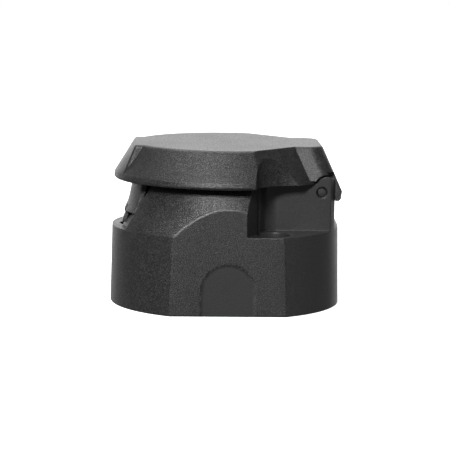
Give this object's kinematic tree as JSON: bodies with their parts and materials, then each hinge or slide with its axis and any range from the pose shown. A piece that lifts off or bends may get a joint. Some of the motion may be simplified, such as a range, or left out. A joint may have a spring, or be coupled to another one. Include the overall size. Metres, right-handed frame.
{
  "type": "trailer wiring socket",
  "caption": "Round trailer wiring socket with a sprung hinged lid over a sleeved contact insert, side flats and a triangle of fixing holes.",
  "frame": {"origin": "centre of the mounting face, on the plug axis", "axes": "+Z along the plug axis, out of the socket's mouth towards the lid; +X from the plug axis towards the lid hinge; the hinge pin lies along Y"},
  "size_m": [0.083, 0.0808, 0.058],
  "materials": {
    "black_housing": "fine spark-eroded grain",
    "black_lid": "fine spark-eroded grain",
    "insert_plastic": "smooth moulded",
    "seal_rubber": "dull rubber",
    "pin_steel": "blackened steel",
    "spring_steel": "drawn spring steel",
    "contact_brass": "turned brass",
    "screw_steel": "zinc plated"
  },
  "bodies": {
    "socket": {"housing": "black_housing", "contact_insert": "insert_plastic", "insert_carrier": "insert_plastic", "insert_seal": "seal_rubber", "insert_retaining_ring": "spring_steel", "plug_seal": "seal_rubber", "mounting_gasket": "seal_rubber", "cable_grommet": "seal_rubber", "hinge_pin": "pin_steel", "lid_spring": "spring_steel", "terminal_screws": "screw_steel", "contact_01": "contact_brass", "contact_02": "contact_brass", "contact_03": "contact_brass", "contact_04": "contact_brass", "contact_05": "contact_brass", "contact_06": "contact_brass", "contact_07": "contact_brass", "contact_08": "contact_brass", "contact_09": "contact_brass", "contact_10": "contact_brass", "contact_11": "contact_brass", "contact_12": "contact_brass", "contact_13": "contact_brass"},
    "lid": {"lid": "black_lid", "lid_seal": "seal_rubber"}
  },
  "joints": [
    {"name": "lid_hinge", "type": "hinge", "parent": "socket", "child": "lid", "pos_m": [0.0337, 0, 0.0418], "axis": [0, 1, 0], "range_deg": [0, 110], "stiffness_Nm_per_rad": 0.05, "springref_deg": -20.05, "deforming": ["lid_spring"]}
  ]
}
